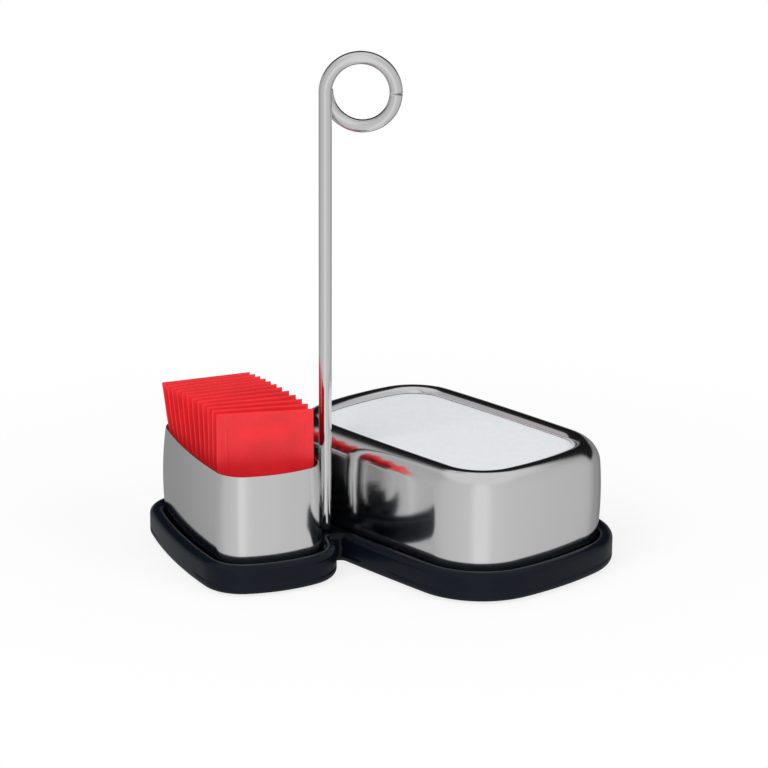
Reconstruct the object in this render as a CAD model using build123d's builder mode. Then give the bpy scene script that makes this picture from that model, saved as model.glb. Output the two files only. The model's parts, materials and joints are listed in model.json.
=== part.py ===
"""Table caddy: a napkin box and a sachet cup on a moulded tray, carried by a ring handle.

Millimetres, +Z up. The origin is on the table, under the middle of the tray's plan. The front
faces -Y. Each vessel is drawn on a plan plane of its own, with its length along the plane's X.
"""
import os
from math import asin, atan2, cos, degrees, radians, sin

from build123d import *

# ---------------------------------------------------------------- driving dimensions
# Tray: a bead round two lobes, one for each vessel, with a web between them for the handle
bead_width = 7.5          # width of the bead round each recess
tray_height = 15.0        # height of the bead, without the feet
recess_depth = 10.0       # from the top of the bead down to the recess floor
tray_floor = 2.6          # thickness of the moulding under a recess
bead_bottom_round = 3.0   # rounding of the bead's lower outer edge
bead_top_flat = 0.3       # what the two top roundings leave between them
groove = 1.6              # gap between the foot of a vessel and the bead
web_radius = 10.0         # web round the handle, between the lobes
web_fillet = 2.0          # rounding where the web meets the lobes
skirt_inset = 2.0         # from a recess's outline to the hollow under its floor
rib_width = 2.0           # ribs in the hollows under the tray
rib_spacing = 30.0

# Feet
foot_diameter = 11.0
foot_stand = 1.0          # how far the feet stand out of the tray
foot_recess = 1.2         # depth of the pocket that holds a foot
foot_boss_wall = 1.8
foot_inset = 21.0         # from a vessel's belly outline to a foot's centre

# Napkin box: outline at the belly, the widest level of the wall
box_length = 161.2
box_width = 107.2
box_corner = 33.5
box_side_radius = 1534.0  # the sides and ends are slightly bowed in plan
box_end_radius = 164.5
box_angle = -49.0         # direction of its length in plan, from +X
box_height = 58.3         # from its foot to the crest of its rim
box_belly_height = 32.0   # from its foot to the belly
box_foot_inset = 2.4      # the foot is this far inside the belly outline
box_shoulder_drop = 10.8  # from the crest down to where the wall turns in
box_shoulder_inset = 0.7  # how far the wall has come in there
box_rim_outer = 7.0       # belly outline to the outer edge of the rim's top
box_rim_width = 5.6       # width of the rim's top
box_rim_sag = 0.8         # the rim's edges lie this far below its crest
box_lip = 1.6             # further inward reach of the lip
box_lip_drop = 2.2        # depth of the lip below the rim's inner edge
box_floor_thickness = 1.0
box_floor_raise = 1.0     # the floor plate is set in above the foot

# Sachet cup: outline at the belly
cup_length = 107.6
cup_width = 62.0
cup_corner = 15.5
cup_side_radius = 300.0
cup_end_radius = 68.4
cup_angle = -67.6
cup_height = 54.0
cup_belly_height = 29.0
cup_foot_inset = 1.9
cup_rim_inset = 1.8
cup_floor_thickness = 1.0

steel_wall = 0.8          # sheet thickness of both vessels

# Handle
rod_diameter = 6.5
ring_radius = 17.3        # to the rod's centre line
handle_height = 263.5     # top of the ring above the table
ring_end_gap = 0.4        # between the ring's end and the rod behind which it ends
ring_end_chamfer = 0.7
rod_socket_depth = 8.1    # how deep the full rod stands in the web
rod_clearance = 0.1       # round the rod in its socket
stud_diameter = 5.0       # turned-down foot of the rod
stud_clearance = 0.15
clamp_thickness = 3.0     # material between the rod's shoulder and the washer
washer_diameter = 10.0
washer_thickness = 1.0
nut_across_flats = 8.0
nut_height = 2.7
nut_stud_clearance = 0.05
nut_pocket_clearance = 1.0

# Where the handle stands, from the vessels' walls and ends
handle_to_box = 5.35      # rod surface to the box's belly
handle_to_cup = 2.75      # rod surface to the cup's belly
handle_from_box_end = 57.2
handle_from_cup_back = 76.7

# Folded napkins
napkin_end_gap = 12.6     # from the box's belly outline to the napkins, at the ends
napkin_side_gap = 12.1    # and at the sides
napkin_corner = 12.0     # the top napkins' corners bend down under the shoulder
pack_corner = 6.0
napkin_fold = 2.0         # thickness of one folded napkin
napkin_count = 4          # napkins drawn one by one, on top of the pack
napkin_gap = 0.05         # air between folded napkins
napkin_headroom = 3.8     # from the top napkin up to the crest of the rim

# Sachets: filled paper envelopes that stand on edge and lean back along the cup
sachet_side_gap = 6.5     # from the cup's belly outline to the sachets' edges
sachet_height = 80.0
sachet_seal = 6.0         # flat crimped edge round the filling
sachet_paper = 0.5        # both sheets together, at the seal
sachet_filling = 3.6      # thickness at the middle
sachet_slope = 6.0        # over this width the filling thins out to the seal
sachet_count = 12
sachet_pitch = 4.9        # step along the cup from one sachet's foot to the next
sachet_front_gap = 19.0   # front sachet's foot to the cup's front end
sachet_back_gap = 12.0    # rear sachet to the cup's back end, where it leans on the rim
sachet_floor_gap = 0.3
front_lean = 1.0          # degrees from upright
front_turn = 12.0         # degrees that the front sachet is turned about the vertical
turn_run_out = 5          # number of sachets over which that turn dies away

# ---------------------------------------------------------------- levels
tray_bottom = foot_stand
tray_top = tray_bottom + tray_height
recess_level = tray_top - recess_depth
hollow_level = recess_level - tray_floor
rod_shoulder = tray_top - rod_socket_depth
washer_top = rod_shoulder - clamp_thickness
nut_top = washer_top - washer_thickness
nut_bottom = nut_top - nut_height
box_crest = recess_level + box_height
cup_rim = recess_level + cup_height
cup_floor_top = recess_level + cup_floor_thickness


# ---------------------------------------------------------------- plan
def bowed_rectangle(length, width, corner, side_radius, end_radius, out):
    """Sketch of the overlap of four large discs, its corners rounded, moved outwards by out."""
    sides = ((0, end_radius, length / 2), (90, side_radius, width / 2),
             (180, end_radius, length / 2), (270, side_radius, width / 2))
    with BuildSketch() as plan:
        Rectangle(2 * length, 2 * width)
        for angle, radius, reach in sides:
            with PolarLocations(radius - reach, 1, angle):
                Circle(radius + out, mode=Mode.INTERSECT)
        fillet(plan.vertices(), radius=corner + out)
    return plan.sketch


def box_outline(out):
    """The napkin box's belly outline, moved outwards by out."""
    return bowed_rectangle(box_length, box_width, box_corner, box_side_radius, box_end_radius, out)


def cup_outline(out):
    """The sachet cup's belly outline, moved outwards by out."""
    return bowed_rectangle(cup_length, cup_width, cup_corner, cup_side_radius, cup_end_radius, out)


# How far each recess lies outside its vessel's belly outline
box_recess_out = groove - box_foot_inset
cup_recess_out = groove - cup_foot_inset

# The handle's place as each vessel's own plane sees it
rod_radius = rod_diameter / 2
handle_in_box = Vector(handle_from_box_end - box_length / 2,
                       -(box_width / 2 + handle_to_box + rod_radius))
handle_in_cup = Vector(handle_from_cup_back - cup_length / 2,
                       cup_width / 2 + handle_to_cup + rod_radius)


def vessel_plane(handle_point, handle_in_vessel, angle):
    """A vessel's plan plane, set so that the handle stands where the vessel wants it."""
    turned = handle_in_vessel.rotate(Axis.Z, angle)
    along = (cos(radians(angle)), sin(radians(angle)), 0)
    return Plane(origin=handle_point - turned, x_dir=along)


def is_crossing(shapes, vertex):
    """True for a vertex on the edges of two shapes, where their outlines cross."""
    return sum(shape.wire().distance_to(vertex) < 1e-4 for shape in shapes) > 1


def tray_outline(handle_point):
    """Sketch of the whole tray: both lobes, and the web round the handle."""
    box_side = vessel_plane(handle_point, handle_in_box, box_angle)
    cup_side = vessel_plane(handle_point, handle_in_cup, cup_angle)
    shapes = (box_side * box_outline(box_recess_out + bead_width),
              cup_side * cup_outline(cup_recess_out + bead_width),
              Pos(handle_point) * Circle(web_radius))
    with BuildSketch() as outline:
        add(shapes)
        notches = [point for point in outline.vertices() if is_crossing(shapes, point)]
        fillet(notches, radius=web_fillet)
    return outline.sketch


handle_at = -tray_outline(Vector(0, 0, 0)).bounding_box().center()
box_plane = vessel_plane(handle_at, handle_in_box, box_angle)
cup_plane = vessel_plane(handle_at, handle_in_cup, cup_angle)
tray_plan = tray_outline(handle_at)

box_recess = box_outline(box_recess_out)
cup_recess = cup_outline(cup_recess_out)
recess_gap = (box_plane * box_recess).distance_to(cup_plane * cup_recess)
bead_round = (min(bead_width, recess_gap) - bead_top_flat) / 2

box_feet = GridLocations(box_length - 2 * foot_inset, box_width - 2 * foot_inset, 2, 2)
cup_feet = GridLocations(cup_length - 2 * foot_inset, 0, 2, 1)


# ---------------------------------------------------------------- tray
def hollow(plane, outline, length, width, feet):
    """Sketch of the hollow under a recess, between its ribs and the bosses for the feet."""
    rib_count = int(length / rib_spacing)
    with BuildSketch(plane.offset(tray_bottom)) as plan:
        add(outline)
        with GridLocations(rib_spacing, 0, rib_count, 1):
            Rectangle(rib_width, width, mode=Mode.SUBTRACT)
        Rectangle(length, rib_width, mode=Mode.SUBTRACT)
        with feet:
            Circle(foot_diameter / 2 + foot_boss_wall, mode=Mode.SUBTRACT)
        with Locations(plane.to_local_coords(handle_at)):
            Circle(washer_diameter / 2 + nut_pocket_clearance + skirt_inset, mode=Mode.SUBTRACT)
    return plan.sketch


box_hollow = hollow(box_plane, box_outline(box_recess_out - skirt_inset),
                    box_length, box_width, box_feet)
cup_hollow = hollow(cup_plane, cup_outline(cup_recess_out - skirt_inset),
                    cup_length, cup_width, cup_feet)

# The moulding up to the recess floors
with BuildPart() as base_tray:
    with BuildSketch(Plane.XY.offset(tray_bottom)):
        add(tray_plan)
    extrude(amount=recess_level - tray_bottom)
    fillet(base_tray.faces().sort_by(Axis.Z)[0].edges(), radius=bead_bottom_round)
    extrude(box_hollow, amount=hollow_level - tray_bottom, mode=Mode.SUBTRACT)
    extrude(cup_hollow, amount=hollow_level - tray_bottom, mode=Mode.SUBTRACT)
    for plane, feet in ((box_plane, box_feet), (cup_plane, cup_feet)):
        with BuildSketch(plane.offset(tray_bottom)):
            with feet:
                Circle(foot_diameter / 2)
        extrude(amount=foot_recess, mode=Mode.SUBTRACT)
    # hole for the rod's stud, and the pocket for the nut
    with BuildSketch(Plane.XY.offset(tray_bottom)):
        with Locations(handle_at):
            Circle(stud_diameter / 2 + stud_clearance)
    extrude(amount=recess_level - tray_bottom, mode=Mode.SUBTRACT)
    with BuildSketch(Plane.XY.offset(tray_bottom)):
        with Locations(handle_at):
            Circle(washer_diameter / 2 + nut_pocket_clearance)
    extrude(amount=washer_top - tray_bottom, mode=Mode.SUBTRACT)
base_tray.part.label = "base_tray"

# The bead and the web, on the same outline, above the recess floors
with BuildPart() as tray_rim:
    with BuildSketch(Plane.XY.offset(recess_level)):
        add(tray_plan)
    extrude(amount=recess_depth)
    with BuildSketch(box_plane.offset(recess_level)):
        add(box_recess)
    extrude(amount=recess_depth, mode=Mode.SUBTRACT)
    with BuildSketch(cup_plane.offset(recess_level)):
        add(cup_recess)
    extrude(amount=recess_depth, mode=Mode.SUBTRACT)
    fillet(tray_rim.faces().sort_by(Axis.Z)[-1].edges(), radius=bead_round)
    # socket for the rod, and the upper end of the hole for its stud
    with BuildSketch(Plane.XY.offset(rod_shoulder)):
        with Locations(handle_at):
            Circle(rod_radius + rod_clearance)
    extrude(amount=rod_socket_depth, mode=Mode.SUBTRACT)
    with BuildSketch(Plane.XY.offset(recess_level)):
        with Locations(handle_at):
            Circle(stud_diameter / 2 + stud_clearance)
    extrude(amount=rod_shoulder - recess_level, mode=Mode.SUBTRACT)
tray_rim.part.label = "tray_rim"

with BuildPart() as tray_feet:
    for plane, feet in ((box_plane, box_feet), (cup_plane, cup_feet)):
        with BuildSketch(plane):
            with feet:
                Circle(foot_diameter / 2)
        extrude(amount=foot_stand + foot_recess)
tray_feet.part.label = "tray_feet"

# ---------------------------------------------------------------- handle
ring_level = handle_height - ring_radius - rod_radius
ring_turn = asin((rod_diameter + ring_end_gap) / (2 * ring_radius))
ring_side = handle_at + Vector(2 * ring_radius, 0, ring_level)
ring_top = handle_at + Vector(ring_radius, 0, ring_level + ring_radius)
half_ring = Vector(-cos(ring_turn), sin(ring_turn), 0)
ring_bottom = ring_side + half_ring * ring_radius - Vector(0, 0, ring_radius)
ring_end = ring_side + half_ring * 2 * ring_radius

with BuildPart() as handle_rod:
    with BuildLine() as rod_path:
        Line(handle_at + Vector(0, 0, rod_shoulder), handle_at + Vector(0, 0, ring_level))
        ThreePointArc(handle_at + Vector(0, 0, ring_level), ring_top, ring_side)
        ThreePointArc(ring_side, ring_bottom, ring_end)
    with BuildSketch(Plane.XY.offset(rod_shoulder)):
        with Locations(handle_at):
            Circle(rod_radius)
    sweep(path=rod_path.wire())
    chamfer(handle_rod.faces().sort_by_distance(ring_end)[0].edges(), length=ring_end_chamfer)
    with BuildSketch(Plane.XY.offset(nut_bottom)):
        with Locations(handle_at):
            Circle(stud_diameter / 2)
    extrude(amount=rod_shoulder - nut_bottom)
handle_rod.part.label = "handle_rod"

with BuildPart() as handle_washer:
    with BuildSketch(Plane.XY.offset(nut_top)):
        with Locations(handle_at):
            Circle(washer_diameter / 2)
            Circle(stud_diameter / 2 + stud_clearance, mode=Mode.SUBTRACT)
    extrude(amount=washer_thickness)
handle_washer.part.label = "handle_washer"

with BuildPart() as handle_nut:
    with BuildSketch(Plane.XY.offset(nut_bottom)):
        with Locations(handle_at):
            RegularPolygon(nut_across_flats / 2, 6, major_radius=False)
            Circle(stud_diameter / 2 + nut_stud_clearance, mode=Mode.SUBTRACT)
    extrude(amount=nut_height)
handle_nut.part.label = "handle_nut"


# ---------------------------------------------------------------- vessels
def profile_plane(path):
    """Plane across a belly outline's start: X points outwards, Y up from the table."""
    return Plane(origin=path @ 0, x_dir=(path % 0).cross(Vector(0, 0, 1)), z_dir=-(path % 0))


box_path = (box_plane * box_outline(0)).face().outer_wire()
rim_edge = box_crest - box_rim_sag
rim_inner = box_rim_outer + box_rim_width

with BuildPart() as napkin_box:
    with BuildSketch(profile_plane(box_path)):
        with BuildLine():
            side = ThreePointArc((-box_foot_inset, recess_level),
                                 (0, recess_level + box_belly_height),
                                 (-box_shoulder_inset, box_crest - box_shoulder_drop))
            shoulder = TangentArc(side @ 1, (-box_rim_outer, rim_edge), tangent=side % 1)
            rim = TangentArc(shoulder @ 1, (-rim_inner, rim_edge), tangent=shoulder % 1)
            TangentArc(rim @ 1, (-rim_inner - box_lip, rim_edge - box_lip_drop), tangent=rim % 1)
            offset(amount=steel_wall, side=Side.LEFT)
        make_face()
    sweep(path=box_path)
napkin_box.part.label = "napkin_box"

with BuildPart() as box_floor:
    with BuildSketch(box_plane.offset(recess_level + box_floor_raise)):
        add(box_outline(-box_foot_inset - steel_wall))
    extrude(amount=box_floor_thickness)
box_floor.part.label = "box_floor"

cup_path = (cup_plane * cup_outline(0)).face().outer_wire()
with BuildPart() as sachet_cup:
    with BuildSketch(profile_plane(cup_path)) as cup_profile:
        with BuildLine():
            ThreePointArc((-cup_foot_inset, recess_level),
                          (0, recess_level + cup_belly_height),
                          (-cup_rim_inset, cup_rim))
            offset(amount=steel_wall, side=Side.LEFT)
        make_face()
        fillet(cup_profile.vertices().sort_by(Axis.Z)[-2:], radius=0.45 * steel_wall)
    sweep(path=cup_path)
    with BuildSketch(cup_plane.offset(recess_level)):
        add(cup_outline(-cup_foot_inset - steel_wall / 2))
    extrude(amount=cup_floor_thickness)
sachet_cup.part.label = "sachet_cup"


# ---------------------------------------------------------------- napkins
napkins_top = box_crest - napkin_headroom
pack_top = napkins_top - napkin_count * (napkin_fold + napkin_gap)
pack_bottom = recess_level + box_floor_raise + box_floor_thickness + napkin_gap
napkin_length = box_length - 2 * napkin_end_gap
napkin_width = box_width - 2 * napkin_side_gap

with BuildPart() as napkin_pack:
    with BuildSketch(box_plane.offset(pack_bottom)):
        RectangleRounded(napkin_length, napkin_width, pack_corner)
    extrude(amount=pack_top - pack_bottom)
napkin_pack.part.label = "napkin_pack"


def folded_napkin(number):
    """One folded napkin on the pack, counted from the lowest."""
    bottom = pack_top + number * napkin_fold + (number + 1) * napkin_gap
    with BuildPart() as napkin:
        with BuildSketch(box_plane.offset(bottom)):
            RectangleRounded(napkin_length, napkin_width, napkin_corner)
        extrude(amount=napkin_fold)
    napkin.part.label = f"napkin_{number + 1}"
    return napkin.part


# ---------------------------------------------------------------- sachets
sachet_width = cup_width - 2 * sachet_side_gap
sachet_foot_level = cup_floor_top + sachet_floor_gap
last_foot = sachet_front_gap + (sachet_count - 1) * sachet_pitch
back_reach = cup_length - last_foot - sachet_back_gap
back_lean = degrees(atan2(back_reach, cup_rim - sachet_foot_level))


def sachet_plane(number):
    """A sachet's middle plane, with its Y up the sachet and its origin at the foot."""
    lean = front_lean + (back_lean - front_lean) * number / (sachet_count - 1)
    turn = front_turn * max(0, 1 - number / turn_run_out)
    foot = Vector(cup_length / 2 - sachet_front_gap - number * sachet_pitch, 0, 0)
    along = Vector(1, 0, 0).rotate(Axis.Z, cup_angle - turn)
    across = along.rotate(Axis.Z, 90)
    up = Vector(0, 0, 1) * cos(radians(lean)) - along * sin(radians(lean))
    low = sachet_foot_level + sachet_paper / 2 * sin(radians(lean))
    origin = cup_plane.from_local_coords(foot) + Vector(0, 0, low)
    return Plane(origin=origin, x_dir=across, z_dir=across.cross(up))


def sachet(number):
    """One sachet: a flat sealed edge, and a filling that swells on both sides of it."""
    middle = sachet_plane(number)
    swell = (sachet_filling - sachet_paper) / 2
    with BuildPart() as envelope:
        with BuildSketch(middle):
            with Locations((0, sachet_height / 2)):
                Rectangle(sachet_width, sachet_height)
        extrude(amount=sachet_paper / 2, both=True)
        for side in (-1, 1):
            foot_width = sachet_width - 2 * sachet_seal
            foot_height = sachet_height - 2 * sachet_seal
            with BuildSketch(middle.offset(side * sachet_paper / 2)):
                with Locations((0, sachet_height / 2)):
                    Rectangle(foot_width, foot_height)
            with BuildSketch(middle.offset(side * (sachet_paper / 2 + swell))):
                with Locations((0, sachet_height / 2)):
                    Rectangle(foot_width - 2 * sachet_slope, foot_height - 2 * sachet_slope)
            loft()
    envelope.part.label = f"sachet_{number + 1:02d}"
    return envelope.part


# ---------------------------------------------------------------- files
os.makedirs("parts", exist_ok=True)

pieces = [base_tray.part, tray_rim.part, tray_feet.part, handle_rod.part, handle_washer.part,
          handle_nut.part, napkin_box.part, box_floor.part, sachet_cup.part, napkin_pack.part]
pieces += [folded_napkin(number) for number in range(napkin_count)]
pieces += [sachet(number) for number in range(sachet_count)]

for piece in pieces:
    export_step(piece, f"parts/{piece.label}.step")
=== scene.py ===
"""Table caddy: the finished surfaces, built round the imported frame.

A polished napkin box and sachet cup stand on a black moulded tray, with a ring handle between
them. Box, cup, handle, napkins and sachets are surfaces worked out on a grid, in metres, in the
frame's own axes. The tray is a smooth copy of the frame's two nodes. The box's floor and the
small parts under the tray keep the frame's meshes.
"""
import json
import math
from collections import namedtuple

import bmesh
import bpy
import numpy as np
from bpy.props import FloatProperty, FloatVectorProperty, IntProperty, PointerProperty
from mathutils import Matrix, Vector

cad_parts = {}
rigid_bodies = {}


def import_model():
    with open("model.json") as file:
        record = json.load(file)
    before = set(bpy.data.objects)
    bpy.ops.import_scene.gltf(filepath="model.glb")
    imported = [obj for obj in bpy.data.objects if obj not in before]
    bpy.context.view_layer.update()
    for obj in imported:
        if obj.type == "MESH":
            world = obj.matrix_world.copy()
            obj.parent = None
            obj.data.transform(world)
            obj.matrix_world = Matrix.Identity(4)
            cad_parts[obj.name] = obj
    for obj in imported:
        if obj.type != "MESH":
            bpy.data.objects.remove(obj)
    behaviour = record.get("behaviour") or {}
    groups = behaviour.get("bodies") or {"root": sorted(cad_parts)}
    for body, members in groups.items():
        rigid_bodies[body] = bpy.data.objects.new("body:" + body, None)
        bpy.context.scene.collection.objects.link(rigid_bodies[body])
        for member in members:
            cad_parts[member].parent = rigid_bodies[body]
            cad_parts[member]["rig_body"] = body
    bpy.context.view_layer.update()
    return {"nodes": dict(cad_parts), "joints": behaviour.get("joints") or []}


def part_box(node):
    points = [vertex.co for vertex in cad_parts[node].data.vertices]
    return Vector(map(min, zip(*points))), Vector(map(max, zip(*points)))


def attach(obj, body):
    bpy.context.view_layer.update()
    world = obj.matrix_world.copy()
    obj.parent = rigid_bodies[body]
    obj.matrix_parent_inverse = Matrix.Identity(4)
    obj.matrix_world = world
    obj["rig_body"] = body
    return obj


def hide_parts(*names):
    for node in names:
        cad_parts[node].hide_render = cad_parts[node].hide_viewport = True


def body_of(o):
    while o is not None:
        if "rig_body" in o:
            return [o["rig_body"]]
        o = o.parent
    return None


bl_info = {
    "name": "Table Caddy",
    "version": (1, 0, 0),
    "blender": (4, 5, 0),
    "location": "View3D > Sidebar > Caddy",
    "description": "Builds the surfaces and stage of a napkin and sachet caddy round its frame",
    "category": "Add Mesh",
}

MM = 0.001
MERGE_REACH = 1e-7                        # points of a mesh that are nearer than this become one
SHORTEST_EDGE = 1e-8
SHARP_ANGLE = math.radians(32)            # edges of the tray that turn more than this stay crisp

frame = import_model()

# Places and levels that the frame settles
BOX_LOW, BOX_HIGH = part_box("napkin_box")
CUP_LOW, CUP_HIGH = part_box("sachet_cup")
WASHER_LOW, WASHER_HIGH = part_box("handle_washer")
ROD_LOW, ROD_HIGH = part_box("handle_rod")
BOX_MIDDLE = (BOX_LOW + BOX_HIGH) / 2
CUP_MIDDLE = (CUP_LOW + CUP_HIGH) / 2
HANDLE_AT = (WASHER_LOW + WASHER_HIGH) / 2
SACHETS = sorted(name for name in frame["nodes"] if name.startswith("sachet_")
                 and name != "sachet_cup")
NAPKINS = sorted(name for name in frame["nodes"] if name.startswith("napkin_")
                 and name != "napkin_box")

Plan = namedtuple("Plan", "length width corner side_radius end_radius")


# ------------------------------------------------------------------ sizes and colours
def length_property(name, millimetres, description):
    """A length that a user may change, given in millimetres and kept in metres."""
    return FloatProperty(name=name, description=description, default=millimetres * MM,
                         min=0.0, subtype="DISTANCE", unit="LENGTH", precision=5)


def angle_property(name, degrees, description):
    """An angle that a user may change."""
    return FloatProperty(name=name, description=description, default=math.radians(degrees),
                         subtype="ANGLE", unit="ROTATION")


def colour_property(name, colour, description):
    """A colour that a user may change, in linear light."""
    return FloatVectorProperty(name=name, description=description, default=colour, size=3,
                               min=0.0, max=1.0, subtype="COLOR")


class CADDY_PG_box(bpy.types.PropertyGroup):
    """Sizes of the napkin box, its plan taken at the belly."""
    length: length_property("Length", 161.2, "Length of the plan")
    width: length_property("Width", 107.2, "Width of the plan")
    corner: length_property("Corner", 33.5, "Corner radius of the plan")
    side_radius: length_property("Side radius", 1534.0, "Radius of the bowed sides")
    end_radius: length_property("End radius", 164.5, "Radius of the bowed ends")
    angle: angle_property("Angle", -49.0, "Direction of the length in plan")
    wall: length_property("Wall", 0.8, "Sheet thickness")
    belly_height: length_property("Belly height", 32.0, "Height of the widest level")
    foot_inset: length_property("Foot inset", 2.4, "Foot inside the belly")
    shoulder_drop: length_property("Shoulder drop", 10.8, "From the crest to the shoulder")
    shoulder_inset: length_property("Shoulder inset", 0.7, "Shoulder inside the belly")
    rim_outer: length_property("Rim start", 7.0, "Belly to the rim's outer edge")
    rim_width: length_property("Rim width", 5.6, "Width of the rim's top")
    rim_sag: length_property("Rim sag", 0.8, "Rim's edges below its crest")
    lip: length_property("Lip", 1.6, "Inward reach of the lip")
    lip_drop: length_property("Lip drop", 2.2, "Depth of the lip")


class CADDY_PG_cup(bpy.types.PropertyGroup):
    """Sizes of the sachet cup, its plan taken at the belly."""
    length: length_property("Length", 107.6, "Length of the plan")
    width: length_property("Width", 62.0, "Width of the plan")
    corner: length_property("Corner", 15.5, "Corner radius of the plan")
    side_radius: length_property("Side radius", 300.0, "Radius of the bowed sides")
    end_radius: length_property("End radius", 68.4, "Radius of the bowed ends")
    angle: angle_property("Angle", -67.6, "Direction of the length in plan")
    wall: length_property("Wall", 0.8, "Sheet thickness")
    belly_height: length_property("Belly height", 29.0, "Height of the widest level")
    foot_inset: length_property("Foot inset", 1.9, "Foot inside the belly")
    rim_inset: length_property("Rim inset", 1.8, "Rim inside the belly")
    floor: length_property("Floor", 1.0, "Thickness of the floor")


class CADDY_PG_handle(bpy.types.PropertyGroup):
    """Sizes of the rod and its ring."""
    rod: length_property("Rod", 6.5, "Diameter of the rod")
    ring: length_property("Ring", 17.3, "Radius of the ring's centre line")
    end_gap: length_property("End gap", 0.4, "Gap between the ring's end and the rod")
    chamfer: length_property("Chamfer", 0.7, "Chamfer on the ring's end")
    stud: length_property("Stud", 5.0, "Diameter of the rod's foot")
    shoulder: length_property("Shoulder", 7.9, "Level where the foot meets the full rod")


class CADDY_PG_paper(bpy.types.PropertyGroup):
    """Sizes of the sachets and napkins."""
    sachet_width: length_property("Sachet width", 49.0, "Width of a sachet")
    sachet_height: length_property("Sachet height", 80.0, "Height of a sachet")
    seal: length_property("Seal", 6.0, "Width of the flat sealed edge")
    slope: length_property("Slope", 9.6, "Width over which the filling thins out")
    paper: length_property("Paper", 0.5, "Both sheets together at the seal")
    filling: length_property("Filling", 3.6, "Thickness at the middle")
    napkin_length: length_property("Napkin length", 136.0, "Length of a folded napkin")
    napkin_width: length_property("Napkin width", 83.0, "Width of a folded napkin")
    napkin_corner: length_property("Napkin corner", 12.0, "Corner of a top napkin")
    pack_corner: length_property("Pack corner", 6.0, "Corner of the pack")
    seed: IntProperty(name="Seed", description="Seed of the sachets' creases", default=7, min=0)


class CADDY_PG_colours(bpy.types.PropertyGroup):
    """Base colours of the materials."""
    steel: colour_property("Steel", (0.86, 0.86, 0.865), "Polished steel")
    fastener: colour_property("Fastener", (0.55, 0.55, 0.56), "Plain steel")
    tray: colour_property("Tray", (0.0035, 0.0055, 0.0105), "Tray moulding")
    rubber: colour_property("Rubber", (0.02, 0.02, 0.02), "Feet")
    sachet: colour_property("Sachet", (0.84, 0.022, 0.030), "Sachet paper")
    napkin: colour_property("Napkin", (0.72, 0.735, 0.765), "Napkin paper")
    floor: colour_property("Floor", (0.86, 0.86, 0.86), "Stage floor")


# ------------------------------------------------------------------ curves
def plan_loop(plan, per_arc=(14, 26, 26)):
    """Points and outward normals round a bowed rectangle, with a count of points for each arc.

    Each quarter is three arcs: half an end, a corner, half a side. The corner's centre lies
    where circles of the end's and the side's radius less the corner's cross.
    """
    side = np.array([0.0, plan.width / 2 - plan.side_radius])
    end = np.array([plan.length / 2 - plan.end_radius, 0.0])
    side_reach = plan.side_radius - plan.corner
    end_reach = plan.end_radius - plan.corner
    between = end - side
    distance = np.hypot(*between)
    along = (side_reach ** 2 - end_reach ** 2 + distance ** 2) / (2 * distance)
    across = math.sqrt(side_reach ** 2 - along ** 2)
    unit = between / distance
    corner = side + along * unit + across * np.array([unit[1], -unit[0]])
    first = math.atan2(corner[1] - end[1], corner[0] - end[0])
    second = math.atan2(corner[1] - side[1], corner[0] - side[0])
    pieces = ((end, plan.end_radius, 0.0, first, per_arc[0]),
              (corner, plan.corner, first, second, per_arc[1]),
              (side, plan.side_radius, second, math.pi / 2, per_arc[2]))
    turns = [np.linspace(start, stop, count, endpoint=False)
             for _, _, start, stop, count in pieces]
    points = [centre + radius * np.stack([np.cos(turn), np.sin(turn)], axis=1)
              for (centre, radius, _, _, _), turn in zip(pieces, turns)]
    turn = np.append(np.concatenate(turns), math.pi / 2)
    point = np.vstack([np.concatenate(points), [[0.0, plan.width / 2]]])
    normal = np.stack([np.cos(turn), np.sin(turn)], axis=1)
    flips = ((slice(None), (1, 1)), (slice(-2, None, -1), (-1, 1)),
             (slice(1, None), (-1, -1)), (slice(-2, 0, -1), (1, -1)))
    points = np.concatenate([point[part] * sign for part, sign in flips])
    normals = np.concatenate([normal[part] * sign for part, sign in flips])
    return points, normals


def three_point_arc(start, middle, end, count):
    """Points on the circle through three points, from the first to the last.

    The centre is as far from the first point as from each of the others, which makes two
    linear equations.
    """
    a, b, c = (np.asarray(point, dtype=float) for point in (start, middle, end))
    rows = 2 * np.array([b - a, c - a])
    centre = np.linalg.solve(rows, np.array([b @ b - a @ a, c @ c - a @ a]))
    turns = np.unwrap([math.atan2(*(point - centre)[::-1]) for point in (a, b, c)])
    turn = np.linspace(turns[0], turns[2], count)
    return centre + np.hypot(*(a - centre)) * np.stack([np.cos(turn), np.sin(turn)], axis=1)


def tangent_arc(line, end, count):
    """Points on the arc that leaves a polyline's end along its tangent and ends at a point.

    Its radius is the chord squared over twice the chord's part across the tangent.
    """
    start, before = line[-1], line[-2]
    heading = (start - before) / np.hypot(*(start - before))
    left = np.array([-heading[1], heading[0]])
    end = np.asarray(end, dtype=float)
    chord = end - start
    radius = chord @ chord / (2 * chord @ left)
    centre = start + radius * left
    first = math.atan2(*(start - centre)[::-1])
    last = math.atan2(*(end - centre)[::-1])
    sweep = (last - first) % math.tau if radius > 0 else -((first - last) % math.tau)
    turn = np.linspace(first, first + sweep, count)[1:]
    return centre + abs(radius) * np.stack([np.cos(turn), np.sin(turn)], axis=1)


def left_normals(line):
    """Unit normals to the left of a polyline's direction of travel."""
    heading = np.gradient(line, axis=0)
    heading /= np.linalg.norm(heading, axis=1, keepdims=True)
    return np.stack([-heading[:, 1], heading[:, 0]], axis=1)


def section(outer, wall, cap=7):
    """A wall's profile, and the index at which its inner line starts.

    The profile is the outer line, a half-round edge at its end, and back along the inside.
    """
    left = left_normals(outer)
    inner = outer + wall * left
    middle = (outer[-1] + inner[-1]) / 2
    ahead = np.array([left[-1][1], -left[-1][0]])
    turn = np.linspace(0, math.pi, cap + 2)[1:-1, None]
    edge = middle + wall / 2 * (-np.cos(turn) * left[-1] + np.sin(turn) * ahead)
    return np.concatenate([outer, edge, inner[::-1]]), len(outer) + cap


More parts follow.
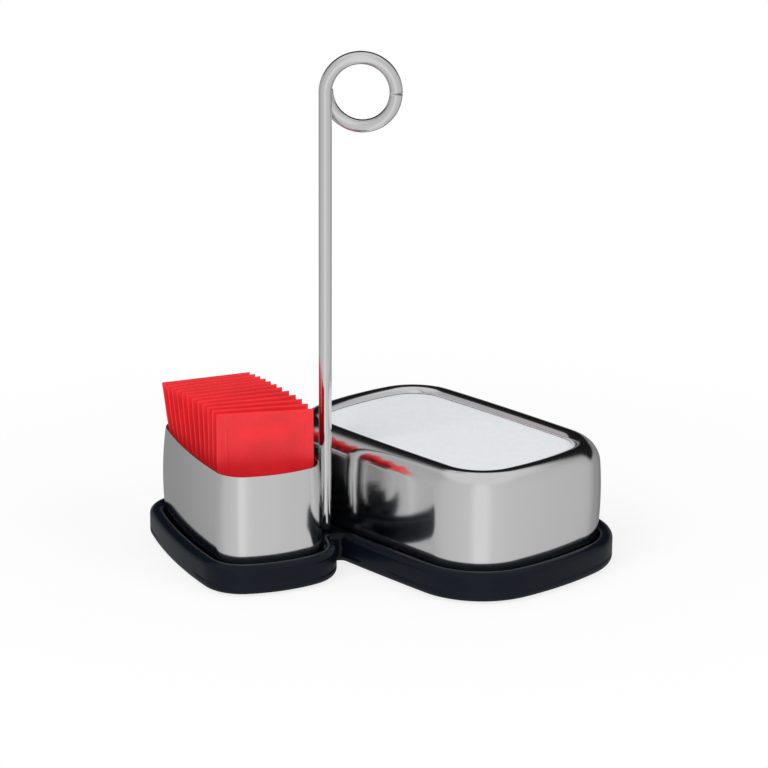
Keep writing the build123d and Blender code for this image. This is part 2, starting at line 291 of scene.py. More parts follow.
# ------------------------------------------------------------------ meshes
def grid_object(name, points, wrap_rows=False):
    """A smooth mesh through a grid of points, in which each row is a closed ring.

    Face (i, j) joins points (i, j), (i, j+1), (i+1, j+1) and (i+1, j), and with wrap_rows the
    last row joins the first. Doubles are merged and faces turned outwards. The UV map runs
    from 0 to 1 along the columns and along the rows.
    """
    rows, columns = points.shape[:2]
    bands = rows if wrap_rows else rows - 1
    index = np.arange(rows * columns).reshape(rows, columns)
    low, near = np.meshgrid(np.arange(bands), np.arange(columns), indexing="ij")
    high, far = (low + 1) % rows, (near + 1) % columns
    faces = np.stack([index[low, near], index[low, far], index[high, far], index[high, near]],
                     axis=-1).reshape(-1, 4)
    mesh = bpy.data.meshes.new(name)
    mesh.vertices.add(rows * columns)
    mesh.vertices.foreach_set("co", points.reshape(-1).astype(np.float32))
    mesh.loops.add(faces.size)
    mesh.loops.foreach_set("vertex_index", faces.reshape(-1))
    mesh.polygons.add(len(faces))
    mesh.polygons.foreach_set("loop_start", np.arange(0, faces.size, 4))
    mesh.polygons.foreach_set("use_smooth", np.ones(len(faces), dtype=bool))
    mesh.update(calc_edges=True)
    across = np.stack([near, near + 1, near + 1, near], axis=-1) / columns
    down = np.stack([low, low, low + 1, low + 1], axis=-1) / bands
    layer = mesh.uv_layers.new(name="UVMap")
    layer.data.foreach_set("uv", np.stack([across, down], axis=-1).reshape(-1).astype(np.float32))
    tidy_shell(mesh)
    piece = bpy.data.objects.new(name, mesh)
    bpy.context.scene.collection.objects.link(piece)
    return piece


def tidy_shell(mesh):
    """Merges a mesh's doubles, drops empty faces and turns the rest outwards."""
    shell = bmesh.new()
    shell.from_mesh(mesh)
    bmesh.ops.remove_doubles(shell, verts=shell.verts, dist=MERGE_REACH)
    bmesh.ops.dissolve_degenerate(shell, edges=shell.edges, dist=SHORTEST_EDGE)
    bmesh.ops.recalc_face_normals(shell, faces=shell.faces)
    shell.to_mesh(mesh)
    shell.free()
    mesh.update()


def turned(points, angle, centre):
    """Points turned about the vertical by an angle, then moved in plan to a centre."""
    cosine, sine = math.cos(angle), math.sin(angle)
    x, y = points[..., 0], points[..., 1]
    moved = [cosine * x - sine * y + centre.x, sine * x + cosine * y + centre.y, points[..., 2]]
    return np.stack(moved, axis=-1)


def swept_wall(plan, profile):
    """Grid of a profile (offset, height) carried round a plan: plan point + offset x normal."""
    loop, normals = plan_loop(plan)
    ground = loop[None] + profile[:, None, :1] * normals[None]
    height = np.broadcast_to(profile[:, None, 1:], ground.shape[:2] + (1,))
    return np.concatenate([ground, height], axis=-1)


def shrinking_rows(row, count):
    """Copies of a closed row, scaled in plan towards its middle, down to a point."""
    scale = np.linspace(1, 0, count + 1)[1:, None, None]
    return row[None] * np.concatenate([np.broadcast_to(scale, (count, 1, 2)),
                                       np.ones((count, 1, 1))], axis=-1)


def plan_of(sizes):
    """The plan that a property group's sizes give."""
    return Plan(sizes.length, sizes.width, sizes.corner, sizes.side_radius, sizes.end_radius)


# ------------------------------------------------------------------ materials
NOISE_MIDDLE = (0.35, 0.65)               # most of a noise's values lie between these


def new_material(name, colour, roughness, metallic=0.0, specular=0.5):
    """A material with one Principled shader, and its nodes, links and shader."""
    material = bpy.data.materials.new(name)
    material.use_nodes = True
    nodes, links = material.node_tree.nodes, material.node_tree.links
    shader = nodes["Principled BSDF"]
    shader.inputs["Base Color"].default_value = (*colour, 1.0)
    shader.inputs["Roughness"].default_value = roughness
    shader.inputs["Metallic"].default_value = metallic
    shader.inputs["Specular IOR Level"].default_value = specular
    return material, nodes, links, shader


def noise_node(nodes, links, scale, detail=4.0):
    """A noise texture on Object coordinates, its scale in cycles a metre."""
    where = nodes.new("ShaderNodeTexCoord")
    noise = nodes.new("ShaderNodeTexNoise")
    noise.inputs["Scale"].default_value = scale
    noise.inputs["Detail"].default_value = detail
    links.new(where.outputs["Object"], noise.inputs["Vector"])
    return noise


def vary_roughness(nodes, links, shader, scale, low, high):
    """Roughness that wanders between two values with a noise."""
    noise = noise_node(nodes, links, scale)
    spread = nodes.new("ShaderNodeMapRange")
    spread.inputs["To Min"].default_value = low
    spread.inputs["To Max"].default_value = high
    links.new(noise.outputs["Fac"], spread.inputs["Value"])
    links.new(spread.outputs["Result"], shader.inputs["Roughness"])


def vary_colour(nodes, links, shader, scale, dark, light):
    """Base colour that wanders between two colours with a noise."""
    noise = noise_node(nodes, links, scale)
    ramp = nodes.new("ShaderNodeValToRGB")
    for element, position, colour in zip(ramp.color_ramp.elements, NOISE_MIDDLE, (dark, light)):
        element.position = position
        element.color = (*colour, 1.0)
    links.new(noise.outputs["Fac"], ramp.inputs["Fac"])
    links.new(ramp.outputs["Color"], shader.inputs["Base Color"])


def add_bump(nodes, links, shader, height, strength, distance):
    """Bump from a height socket."""
    bump = nodes.new("ShaderNodeBump")
    bump.inputs["Strength"].default_value = strength
    bump.inputs["Distance"].default_value = distance
    links.new(height, bump.inputs["Height"])
    links.new(bump.outputs["Normal"], shader.inputs["Normal"])


def darker(colour, factor):
    """A colour with each part multiplied by a factor below 1."""
    return tuple(part * factor for part in colour)


def polished_steel(colour):
    """Mirror-polished sheet, with faint haze from wiping."""
    material, nodes, links, shader = new_material("polished_steel", colour, roughness=0.05,
                                                  metallic=1.0)
    vary_roughness(nodes, links, shader, scale=60.0, low=0.035, high=0.075)
    return material


def plain_steel(colour):
    """Turned steel of the washer and nut."""
    material, nodes, links, shader = new_material("plain_steel", colour, roughness=0.35,
                                                  metallic=1.0)
    vary_roughness(nodes, links, shader, scale=900.0, low=0.28, high=0.42)
    return material


def tray_moulding(colour):
    """Blue-black moulding with a soft gloss and a very fine grain."""
    material, nodes, links, shader = new_material("tray_moulding", colour, roughness=0.3,
                                                  specular=0.16)
    vary_roughness(nodes, links, shader, scale=120.0, low=0.20, high=0.28)
    grain = noise_node(nodes, links, scale=2600.0, detail=2.0)
    add_bump(nodes, links, shader, grain.outputs["Fac"], strength=0.10, distance=0.04 * MM)
    return material


def foot_rubber(colour):
    """Matt rubber of the feet."""
    material, nodes, links, shader = new_material("foot_rubber", colour, roughness=0.85)
    grain = noise_node(nodes, links, scale=1500.0)
    add_bump(nodes, links, shader, grain.outputs["Fac"], strength=0.4, distance=0.1 * MM)
    return material


def sachet_paper(colour):
    """Coated red paper: faint blotches and fibres under a satin coat."""
    material, nodes, links, shader = new_material("sachet_paper", colour, roughness=0.42,
                                                  specular=0.45)
    vary_colour(nodes, links, shader, scale=70.0, dark=darker(colour, 0.90), light=colour)
    fibres = noise_node(nodes, links, scale=900.0, detail=6.0)
    add_bump(nodes, links, shader, fibres.outputs["Fac"], strength=0.25, distance=0.12 * MM)
    return material


def napkin_tissue(colour):
    """White tissue with a fine embossed dot pattern."""
    material, nodes, links, shader = new_material("napkin_tissue", colour, roughness=0.92,
                                                  specular=0.15)
    vary_colour(nodes, links, shader, scale=200.0, dark=darker(colour, 0.97), light=colour)
    where = nodes.new("ShaderNodeTexCoord")
    dots = nodes.new("ShaderNodeTexVoronoi")
    dots.inputs["Scale"].default_value = 520.0
    dots.inputs["Randomness"].default_value = 0.12
    links.new(where.outputs["Object"], dots.inputs["Vector"])
    add_bump(nodes, links, shader, dots.outputs["Distance"], strength=0.55, distance=0.4 * MM)
    return material


def dress(piece, material):
    """Gives a piece one material."""
    piece.data.materials.clear()
    piece.data.materials.append(material)


def place(piece, node, material):
    """Makes a piece stand for a node: its body and its material."""
    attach(piece, *body_of(frame["nodes"][node]))
    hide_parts(node)
    dress(piece, material)


# ------------------------------------------------------------------ steel and tray
class CADDY_OT_steel(bpy.types.Operator):
    """Make the polished steel that the box, cup and handle share"""
    bl_idname = "caddy.steel"
    bl_label = "Polished Steel"

    def execute(self, context):
        polished_steel(context.scene.caddy_colours.steel)
        return {"FINISHED"}


class CADDY_OT_tray(bpy.types.Operator):
    """Finish the moulded tray and its feet"""
    bl_idname = "caddy.tray"
    bl_label = "Tray and Feet"

    def execute(self, context):
        colours = context.scene.caddy_colours
        moulding = tray_moulding(colours.tray)
        for node in ("base_tray", "tray_rim"):
            mesh = frame["nodes"][node].data.copy()
            tidy_shell(mesh)
            mesh.polygons.foreach_set("use_smooth", np.ones(len(mesh.polygons), dtype=bool))
            mesh.set_sharp_from_angle(angle=SHARP_ANGLE)
            piece = bpy.data.objects.new(f"moulded_{node}", mesh)
            context.scene.collection.objects.link(piece)
            place(piece, node, moulding)
        dress(frame["nodes"]["tray_feet"], foot_rubber(colours.rubber))
        return {"FINISHED"}


# ------------------------------------------------------------------ box and cup
CUP_WALL_FOOT = 1.0 * MM                  # height above the floor at which the inner wall ends
CUP_FLOOR_RUN = 0.5 * MM                  # how far in from the wall the flat floor starts


class CADDY_OT_napkin_box(bpy.types.Operator):
    """Build the polished napkin box"""
    bl_idname = "caddy.napkin_box"
    bl_label = "Napkin Box"

    def execute(self, context):
        sizes = context.scene.caddy_box
        foot, crest = BOX_LOW.z, BOX_HIGH.z
        rim_edge = crest - sizes.rim_sag
        rim_inner = sizes.rim_outer + sizes.rim_width
        line = three_point_arc((-sizes.foot_inset, foot), (0, foot + sizes.belly_height),
                               (-sizes.shoulder_inset, crest - sizes.shoulder_drop), count=40)
        shoulder_end = (-sizes.rim_outer, rim_edge)
        rim_end = (-rim_inner, rim_edge)
        lip_end = (-rim_inner - sizes.lip, rim_edge - sizes.lip_drop)
        for end, count in ((shoulder_end, 22), (rim_end, 20), (lip_end, 12)):
            line = np.concatenate([line, tangent_arc(line, end, count)])
        profile, _ = section(line, sizes.wall)
        points = turned(swept_wall(plan_of(sizes), profile), sizes.angle, BOX_MIDDLE)
        piece = grid_object("napkin_box_shell", points, wrap_rows=True)
        steel = bpy.data.materials["polished_steel"]
        place(piece, "napkin_box", steel)
        dress(frame["nodes"]["box_floor"], steel)
        return {"FINISHED"}


class CADDY_OT_sachet_cup(bpy.types.Operator):
    """Build the polished sachet cup"""
    bl_idname = "caddy.sachet_cup"
    bl_label = "Sachet Cup"

    def execute(self, context):
        sizes = context.scene.caddy_cup
        foot, rim = CUP_LOW.z, CUP_HIGH.z
        floor_top = foot + sizes.floor
        side = three_point_arc((-sizes.foot_inset, foot), (0, foot + sizes.belly_height),
                               (-sizes.rim_inset, rim - sizes.wall / 2), count=48)
        profile, inner_start = section(side, sizes.wall)
        inner = profile[inner_start:]
        inner = inner[inner[:, 1] > floor_top + CUP_WALL_FOOT]
        floor_edge = inner[-1] + np.array([-CUP_FLOOR_RUN, floor_top - inner[-1][1]])
        profile = np.concatenate([profile[:inner_start], inner, [floor_edge]])
        wall = swept_wall(plan_of(sizes), profile)
        under = shrinking_rows(wall[0], count=4)[::-1]
        floor = shrinking_rows(wall[-1], count=10)
        points = turned(np.concatenate([under, wall, floor]), sizes.angle, CUP_MIDDLE)
        piece = grid_object("sachet_cup_shell", points)
        place(piece, "sachet_cup", bpy.data.materials["polished_steel"])
        return {"FINISHED"}


# ------------------------------------------------------------------ handle
class CADDY_OT_handle(bpy.types.Operator):
    """Build the rod with its ring, and finish its washer and nut"""
    bl_idname = "caddy.handle"
    bl_label = "Handle"

    def execute(self, context):
        piece = grid_object("ring_handle", handle_points(context.scene.caddy_handle))
        place(piece, "handle_rod", bpy.data.materials["polished_steel"])
        plain = plain_steel(context.scene.caddy_colours.fastener)
        dress(frame["nodes"]["handle_washer"], plain)
        dress(frame["nodes"]["handle_nut"], plain)
        return {"FINISHED"}


def handle_points(sizes, sides=72, rod_rows=14, arc_rows=90):
    """Grid of a round rod: its centre line plus radius x (cos of a turn, sin of a turn).

    The centre line climbs straight, then makes two half circles. The second lies in a plane
    turned about the vertical, so that the ring's end passes behind the rod. Its points start
    half a turn round from the first's, a known fault that pinches the rod between two rows.
    """
    radius = sizes.rod / 2
    level = ROD_HIGH.z - radius - sizes.ring
    swing = math.asin((sizes.rod + sizes.end_gap) / (2 * sizes.ring))
    up = np.array([0.0, 0.0, 1.0])
    right = np.array([1.0, 0.0, 0.0])
    away = np.array([0.0, 1.0, 0.0])
    back = np.array([-math.cos(swing), math.sin(swing), 0.0])
    foot = np.array([HANDLE_AT.x, HANDLE_AT.y, 0.0])
    heights = np.concatenate([[ROD_LOW.z, ROD_LOW.z, sizes.shoulder, sizes.shoulder],
                              np.linspace(sizes.shoulder, level, rod_rows)[1:-1]])
    straight = foot + heights[:, None] * up
    over = np.linspace(math.pi, 0, arc_rows)[:, None]
    first = foot + level * up + sizes.ring * ((1 + np.cos(over)) * right + np.sin(over) * up)
    first_heading = np.sin(over) * right - np.cos(over) * up
    under = over[::-1]
    far_side = foot + level * up + 2 * sizes.ring * right
    second = far_side + sizes.ring * ((1 - np.cos(under)) * back - np.sin(under) * up)
    second_heading = np.sin(under) * back - np.cos(under) * up
    end = second[-1]
    cut = np.stack([end, end + sizes.chamfer * up, end + sizes.chamfer * up])
    centres = np.concatenate([straight, first, second[1:-1], cut])
    headings = np.concatenate([np.tile(up, (len(straight), 1)), first_heading,
                               second_heading[1:-1], np.tile(up, (len(cut), 1))])
    count_first = len(straight) + len(first)
    count_second = len(centres) - count_first
    sideways = np.concatenate([np.tile(away, (count_first, 1)),
                               np.tile(-np.cross(back, up), (count_second, 1))])
    outward = np.cross(headings, sideways)
    radii = np.full(len(centres), radius)
    radii[:4] = (0.0, sizes.stud / 2, sizes.stud / 2, radius)
    radii[-2:] = (radius - sizes.chamfer, 0.0)
    phase = np.concatenate([np.zeros(count_first), np.full(count_second, swing)])
    circle = np.linspace(0, math.tau, sides, endpoint=False)[None] + phase[:, None]
    around = (np.cos(circle)[..., None] * outward[:, None]
              + np.sin(circle)[..., None] * sideways[:, None])
    return centres[:, None] + radii[:, None, None] * around


# ------------------------------------------------------------------ napkins
NAPKIN_SIDE = 20.0                        # radius of its nearly straight sides, in metres
NAPKIN_FOLD = 1.0 * MM                    # largest radius of its folded edge
NAPKIN_SAG = 0.25 * MM                    # how far the middle of its top sinks


class CADDY_OT_napkins(bpy.types.Operator):
    """Build the pack of napkins and the loose ones on top"""
    bl_idname = "caddy.napkins"
    bl_label = "Napkins"

    def execute(self, context):
        sizes = context.scene.caddy_paper
        tissue = napkin_tissue(context.scene.caddy_colours.napkin)
        angle = context.scene.caddy_box.angle
        for node in NAPKINS:
            corner = sizes.pack_corner if node == "napkin_pack" else sizes.napkin_corner
            plan = Plan(sizes.napkin_length, sizes.napkin_width, corner, NAPKIN_SIDE, NAPKIN_SIDE)
            points = turned(napkin_points(plan, *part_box(node)), angle, BOX_MIDDLE)
            piece = grid_object(f"folded_{node}", points)
            place(piece, node, tissue)
        return {"FINISHED"}


def napkin_points(plan, low, high, edge_rows=9, under_rows=6, over_rows=46):
    """Grid of a folded slab: loops shrink to the middle below and above a rounded edge.

    The top sinks by the sag x half of one plus the cosine of pi x the share of the way out.
    """
    fold = min((high.z - low.z) / 2, NAPKIN_FOLD)
    turn = np.linspace(-math.pi / 2, math.pi / 2, edge_rows)
    level = np.where(turn < 0, low.z + fold, high.z - fold)
    profile = np.stack([fold * (np.cos(turn) - 1), level + fold * np.sin(turn)], axis=1)
    side = swept_wall(plan, profile)
    under = shrinking_rows(side[0], under_rows)[::-1]
    over = shrinking_rows(side[-1], over_rows)
    share = np.linspace(1, 0, over_rows + 1)[1:, None]
    over[..., 2] -= NAPKIN_SAG * (1 + np.cos(math.pi * share)) / 2
    return np.concatenate([under, side, over])


# ------------------------------------------------------------------ sachets
# Shares run from 0 at a sachet's middle to 1 at its edge, and a pitch is in radians for each
# half size, from the middle to the edge
PRESSED_LINE_AT = 0.79                    # share of the half width
PRESSED_LINE_WIDTH = 0.016                # share of the half width
PRESSED_LINE_END = 0.84                   # share of the half height
PRESSED_LINE_HEIGHT = 0.24 * MM
RIDGES_FROM = 0.87                        # share of the half height
RIDGE_HEIGHT = 0.035 * MM
RIDGE_RADIAN = 0.55 * MM                  # width over which the ridges' wave turns a radian
CREASE_COUNT = 3
CREASE_LEAN = 0.5                         # largest lean of a crease from upright, in radians
CREASE_PITCH = (4.0, 9.0)
CREASE_SHIFT = 9.0                        # how far a crease's lean moves its wave
CREASE_HEIGHT = 0.088 * MM
CREASE_AT_SEAL = 0.15                     # share of its height that a crease keeps at the seals
BUCKLE_PITCH = (9.0, 15.0)
BUCKLE_SHIFT = 6.0
BUCKLE_HEIGHT = 0.08 * MM
SHEET_BEND = 0.25 * MM


class CADDY_OT_sachets(bpy.types.Operator):
    """Build the filled paper sachets in the cup"""
    bl_idname = "caddy.sachets"
    bl_label = "Sachets"

    def execute(self, context):
        sizes = context.scene.caddy_paper
        paper = sachet_paper(context.scene.caddy_colours.sachet)
        pulls = {joint["child"]: Vector(joint["axis"]) for joint in frame["joints"]}
        for number, node in enumerate(SACHETS):
            low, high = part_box(node)
            points = sachet_points(sizes, (low + high) / 2, pulls[node], number)
            piece = grid_object(f"filled_{node}", points)
            place(piece, node, paper)
        return {"FINISHED"}


def swell(share, half_size, sizes):
    """Smooth step from 0 at the seal's inner edge to 1 where the filling is full."""
    rise = np.clip(((1 - abs(share)) * half_size - sizes.seal) / sizes.slope, 0, 1)
    return rise ** 2 * (3 - 2 * rise)


def sachet_points(sizes, centre, up, number, columns=150, rows=96):
    """Grid of a filled envelope: a front and a back sheet that swell from a flat sealed edge.

    Here a runs from -1 to 1 across and b from -1 to 1 up. Half the thickness is paper plus
    filling x a smooth step across x a smooth step up, with a pressed line down each side and
    ridges on the two end seals. Between the sheets, the middle has a slight bend, a few
    seeded creases and buckled side edges.
    """
    draw = np.random.default_rng(sizes.seed + number)
    along = -Vector((up.x, up.y, 0.0)).normalized()
    across = Vector((0.0, 0.0, 1.0)).cross(along)
    ahead = across.cross(up)
    a = np.linspace(-1, 1, columns)[None]
    b = np.linspace(-1, 1, rows)[:, None]
    half_width, half_height = sizes.sachet_width / 2, sizes.sachet_height / 2
    step = swell(a, half_width, sizes) * swell(b, half_height, sizes)
    half = sizes.paper / 2 + (sizes.filling - sizes.paper) / 2 * step
    from_line = (abs(a) - PRESSED_LINE_AT) / PRESSED_LINE_WIDTH
    line = PRESSED_LINE_HEIGHT * np.exp(-from_line ** 2) * (abs(b) < PRESSED_LINE_END)
    ridges = RIDGE_HEIGHT * np.sin(a * half_width / RIDGE_RADIAN) * (abs(b) > RIDGES_FROM)
    inside = (abs(a) < 1) & (abs(b) < 1)
    thick = (half + line + ridges) * inside
    lean = draw.uniform(-CREASE_LEAN, CREASE_LEAN, CREASE_COUNT)[:, None, None]
    pitch = draw.uniform(*CREASE_PITCH, CREASE_COUNT)[:, None, None]
    waves = np.sin(pitch * (a * np.cos(lean) + b * np.sin(lean)) + CREASE_SHIFT * lean)
    creases = CREASE_HEIGHT * waves.sum(axis=0) * (CREASE_AT_SEAL + step)
    buckles = np.sin(b * draw.uniform(*BUCKLE_PITCH) + draw.uniform(0, BUCKLE_SHIFT))
    buckles = BUCKLE_HEIGHT * buckles * abs(a) ** 4
    bend = draw.uniform(-SHEET_BEND, SHEET_BEND, 2)
    middle = bend[0] * a ** 2 + bend[1] * a * np.clip(b, 0, 1) + creases + buckles
    front, back = middle + thick, middle - thick
    depth = np.concatenate([front, back[:, ::-1]], axis=1)[..., None]
    spread = np.concatenate([a, a[:, ::-1]], axis=1)[..., None] * half_width
    lift = (b * half_height)[..., None]
    return (np.array(centre) + spread * np.array(across) + lift * np.array(up)
            + depth * np.array(ahead))


# ------------------------------------------------------------------ stage
SoftLight = namedtuple("SoftLight", "name place size watts")

CAMERA_ELEVATION = math.radians(17.31)
CAMERA_DISTANCE = 1.488
CAMERA_LENS = 133.9                       # millimetres
CAMERA_SENSOR = 36.0                      # millimetres
CAMERA_SHIFT = 0.078                      # the aim stands left of the picture's middle
CAMERA_AIM = (-0.55 * MM, 47.7 * MM, 79.125 * MM)   # from the handle's foot on the table
LIGHTS = (SoftLight("key_light", (-0.9, -1.1, 1.5), 1.1, 22.0),
          SoftLight("fill_light", (1.2, -0.7, 1.1), 1.0, 9.0))
LIGHT_AIM = (0.0, 0.0, 0.04)
AMBIENT = 0.70                            # the world's light on whatever doesn't mirror it
FLOOR_REACH = 6.0                         # from the origin to the floor's edges, in metres
FLOOR_FADE = (0.12, 0.42)                 # distances over which it goes over to plain white
FLOOR_WHITE_SHARE = 0.80                  # under the object, where the rest is lit and shadowed
# What the steel mirrors, as degrees round from the front, right positive, and a tone
STUDIO_TONES = ((-180, 0.30), (-148, 0.38), (-110, 0.56), (-60, 0.74), (-26, 0.80), (-7, 1.0),
                (5, 1.0), (24, 0.82), (62, 0.77), (96, 0.70), (128, 0.42), (155, 0.30))
# Where the ceiling and the dark panel begin and end, on a sphere of radius 1
CEILING = (0.62, 0.85)                    # heights over which walls go over to ceiling
CEILING_TONE = 0.90
PANEL_FOOT = (0.13, 0.25)                 # heights over which the panel darkens
PANEL_TOP = (0.96, 0.90)                  # heights over which it darkens from above
PANEL_SIDES = (0.34, 0.52)                # distances behind the middle over which it darkens
PANEL_TONE = 0.03


class CADDY_OT_stage(bpy.types.Operator):
    """Build the floor, the lights and the camera"""
    bl_idname = "caddy.stage"
    bl_label = "Stage"

    def execute(self, context):
        scene = context.scene
        scene.view_settings.view_transform = "Standard"
        add_floor(scene)
        scene.world = studio_world()
        for light in LIGHTS:
            add_soft_light(scene, light)
        add_camera(scene)
        return {"FINISHED"}


def feed(links, socket, value):
    """Gives an input socket the output of another node, or a number."""
    if isinstance(value, bpy.types.NodeSocket):
        links.new(value, socket)
    else:
        socket.default_value = value


def math_socket(nodes, links, operation, first, second):
    """Socket with the result of an operation on two sockets or numbers."""
    node = nodes.new("ShaderNodeMath")
    node.operation = operation
    feed(links, node.inputs[0], first)
    feed(links, node.inputs[1], second)
    return node.outputs[0]


def mix_socket(nodes, links, share, first, second):
    """Socket that goes from a first value to a second as a share goes from 0 to 1."""
    node = nodes.new("ShaderNodeMix")
    node.data_type = "FLOAT"
    for name, value in (("Factor", share), ("A", first), ("B", second)):
        feed(links, node.inputs[name], value)
    return node.outputs["Result"]


def ramp_socket(nodes, links, source, low, high):
    """Socket that climbs smoothly from 0 to 1 as a source goes from one value to another."""
    ramp = nodes.new("ShaderNodeMapRange")
    ramp.interpolation_type = "SMOOTHSTEP"
    ramp.inputs["From Min"].default_value = low
    ramp.inputs["From Max"].default_value = high
    links.new(source, ramp.inputs["Value"])
    return ramp.outputs["Result"]


def seen_directly(nodes, links):
    """Socket that is 1 for rays from the camera, from a mirror or through glass."""
    path = nodes.new("ShaderNodeLightPath")
    seen = path.outputs["Is Camera Ray"]
    for kind in ("Is Glossy Ray", "Is Transmission Ray"):
        seen = math_socket(nodes, links, "MAXIMUM", seen, path.outputs[kind])
    return seen


def add_floor(scene):
    """A square floor that takes the object's shadow and isn't seen in metal."""
    corners = [(x * FLOOR_REACH, y * FLOOR_REACH, 0.0)
               for x, y in ((-1, -1), (1, -1), (1, 1), (-1, 1))]
    mesh = bpy.data.meshes.new("floor")
    mesh.from_pydata(corners, [], [(0, 1, 2, 3)])
    floor = bpy.data.objects.new("floor", mesh)
    scene.collection.objects.link(floor)
    dress(floor, floor_material(scene.caddy_colours.floor))
    floor.visible_glossy = False


def floor_material(colour):
    """Pale floor that goes over to plain white away from the object, and keeps its shadow."""
    material = bpy.data.materials.new("pale_floor")
    material.use_nodes = True
    nodes, links = material.node_tree.nodes, material.node_tree.links
    nodes.clear()
    output = nodes.new("ShaderNodeOutputMaterial")
    diffuse = nodes.new("ShaderNodeBsdfDiffuse")
    diffuse.inputs["Color"].default_value = (*colour, 1.0)
    where = nodes.new("ShaderNodeTexCoord")
    distance = nodes.new("ShaderNodeVectorMath")
    distance.operation = "LENGTH"
    links.new(where.outputs["Object"], distance.inputs[0])
    fade = ramp_socket(nodes, links, distance.outputs["Value"], *FLOOR_FADE)
    white = mix_socket(nodes, links, fade, FLOOR_WHITE_SHARE, 1.0)
    share = math_socket(nodes, links, "MULTIPLY", seen_directly(nodes, links), white)
    glow = nodes.new("ShaderNodeEmission")
    mixed = nodes.new("ShaderNodeMixShader")
    links.new(share, mixed.inputs["Fac"])
    links.new(diffuse.outputs["BSDF"], mixed.inputs[1])
    links.new(glow.outputs["Emission"], mixed.inputs[2])
    links.new(mixed.outputs["Shader"], output.inputs["Surface"])
    return material


def studio_tone(nodes, links, parts):
    """Socket with the studio's tone in a direction: a ramp over its turn from the front."""
    front = math_socket(nodes, links, "MULTIPLY", parts.outputs["Y"], -1.0)
    turn = math_socket(nodes, links, "ARCTAN2", parts.outputs["X"], front)
    share = nodes.new("ShaderNodeMapRange")
    share.inputs["From Min"].default_value = -math.pi
    share.inputs["From Max"].default_value = math.pi
    links.new(turn, share.inputs["Value"])
    ramp = nodes.new("ShaderNodeValToRGB")
    ramp.color_ramp.interpolation = "EASE"
    elements = ramp.color_ramp.elements
    while len(elements) < len(STUDIO_TONES):
        elements.new(0.5)
    for element, (degrees, tone) in zip(elements, STUDIO_TONES):
        element.position = degrees / 360 + 0.5
        element.color = (tone, tone, tone, 1.0)
    links.new(share.outputs["Result"], ramp.inputs["Fac"])
    return ramp.outputs["Color"]


def studio_world():
    """White studio. Metal mirrors soft grey walls, a bright front and a dark panel behind."""
    world = bpy.data.worlds.new("studio")
    world.use_nodes = True
    nodes, links = world.node_tree.nodes, world.node_tree.links
    nodes.clear()
    output = nodes.new("ShaderNodeOutputWorld")
    where = nodes.new("ShaderNodeTexCoord")
    parts = nodes.new("ShaderNodeSeparateXYZ")
    links.new(where.outputs["Generated"], parts.inputs["Vector"])
    height, depth = parts.outputs["Z"], parts.outputs["Y"]
    panel = math_socket(nodes, links, "MULTIPLY", ramp_socket(nodes, links, height, *PANEL_FOOT),
                        ramp_socket(nodes, links, height, *PANEL_TOP))
    panel = math_socket(nodes, links, "MULTIPLY", panel,
                        ramp_socket(nodes, links, depth, *PANEL_SIDES))
    overhead = ramp_socket(nodes, links, height, *CEILING)
    bare = mix_socket(nodes, links, overhead, studio_tone(nodes, links, parts), CEILING_TONE)
    darkened = mix_socket(nodes, links, panel, 1.0, PANEL_TONE)
    mirrored = math_socket(nodes, links, "MULTIPLY", bare, darkened)
    path = nodes.new("ShaderNodeLightPath")
    lit = mix_socket(nodes, links, path.outputs["Is Glossy Ray"], AMBIENT, mirrored)
    seen = mix_socket(nodes, links, path.outputs["Is Camera Ray"], lit, 1.0)
    background = nodes.new("ShaderNodeBackground")
    links.new(seen, background.inputs["Strength"])
    links.new(background.outputs["Background"], output.inputs["Surface"])
    return world


def add_soft_light(scene, light):
    """A square soft light that faces the object and isn't seen in metal."""
    area = bpy.data.lights.new(light.name, "AREA")
    area.size = light.size
    area.energy = light.watts
    lamp = bpy.data.objects.new(light.name, area)
    lamp.location = light.place
    toward = Vector(LIGHT_AIM) - lamp.location
    lamp.rotation_euler = toward.to_track_quat("-Z", "Y").to_euler()
    lamp.visible_glossy = False
    scene.collection.objects.link(lamp)


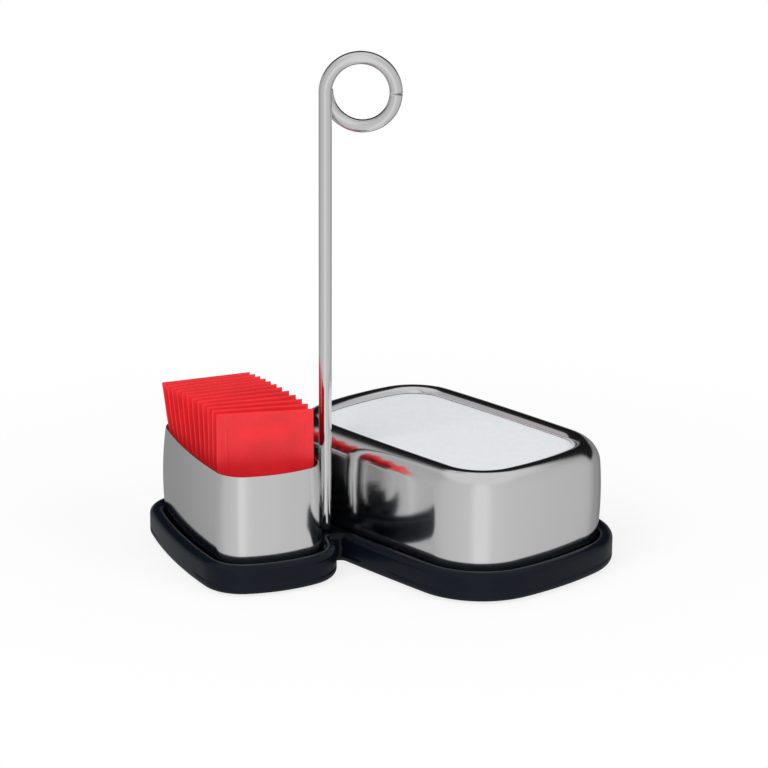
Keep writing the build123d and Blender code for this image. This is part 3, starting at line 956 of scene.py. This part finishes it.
def add_camera(scene):
    """Camera at the photograph's angle, in front of the object and a little above it."""
    lens = bpy.data.cameras.new("camera")
    lens.lens = CAMERA_LENS
    lens.sensor_width = CAMERA_SENSOR
    lens.shift_x = CAMERA_SHIFT
    camera = bpy.data.objects.new("camera", lens)
    aim = Vector((HANDLE_AT.x, HANDLE_AT.y, 0.0)) + Vector(CAMERA_AIM)
    back = Vector((0.0, -math.cos(CAMERA_ELEVATION), math.sin(CAMERA_ELEVATION)))
    camera.location = aim + CAMERA_DISTANCE * back
    camera.rotation_euler = (math.pi / 2 - CAMERA_ELEVATION, 0.0, 0.0)
    scene.collection.objects.link(camera)
    scene.camera = camera


# ------------------------------------------------------------------ panel and registration
STEPS = ("steel", "tray", "napkin_box", "sachet_cup", "handle", "napkins", "sachets", "stage")


class CADDY_PT_panel(bpy.types.Panel):
    """Sidebar panel with the caddy's sizes and steps"""
    bl_label = "Table Caddy"
    bl_space_type = "VIEW_3D"
    bl_region_type = "UI"
    bl_category = "Caddy"

    def draw(self, context):
        layout = self.layout
        for group in GROUPS:
            box = layout.box()
            settings = getattr(context.scene, group)
            for name in GROUPS[group].__annotations__:
                box.prop(settings, name)
        for step in STEPS:
            layout.operator(f"caddy.{step}")


GROUPS = {"caddy_box": CADDY_PG_box, "caddy_cup": CADDY_PG_cup, "caddy_handle": CADDY_PG_handle,
          "caddy_paper": CADDY_PG_paper, "caddy_colours": CADDY_PG_colours}
CLASSES = (*GROUPS.values(), CADDY_OT_steel, CADDY_OT_tray, CADDY_OT_napkin_box,
           CADDY_OT_sachet_cup, CADDY_OT_handle, CADDY_OT_napkins, CADDY_OT_sachets,
           CADDY_OT_stage, CADDY_PT_panel)


def register():
    """Registers the classes and hangs the property groups on the scene."""
    for item in CLASSES:
        bpy.utils.register_class(item)
    for name, group in GROUPS.items():
        setattr(bpy.types.Scene, name, PointerProperty(type=group))


def unregister():
    """Takes the property groups and the classes away again."""
    for name in GROUPS:
        delattr(bpy.types.Scene, name)
    for item in reversed(CLASSES):
        bpy.utils.unregister_class(item)


def main():
    register()
    for step in STEPS:
        getattr(bpy.ops.caddy, step)()


if __name__ == "__main__":
    main()
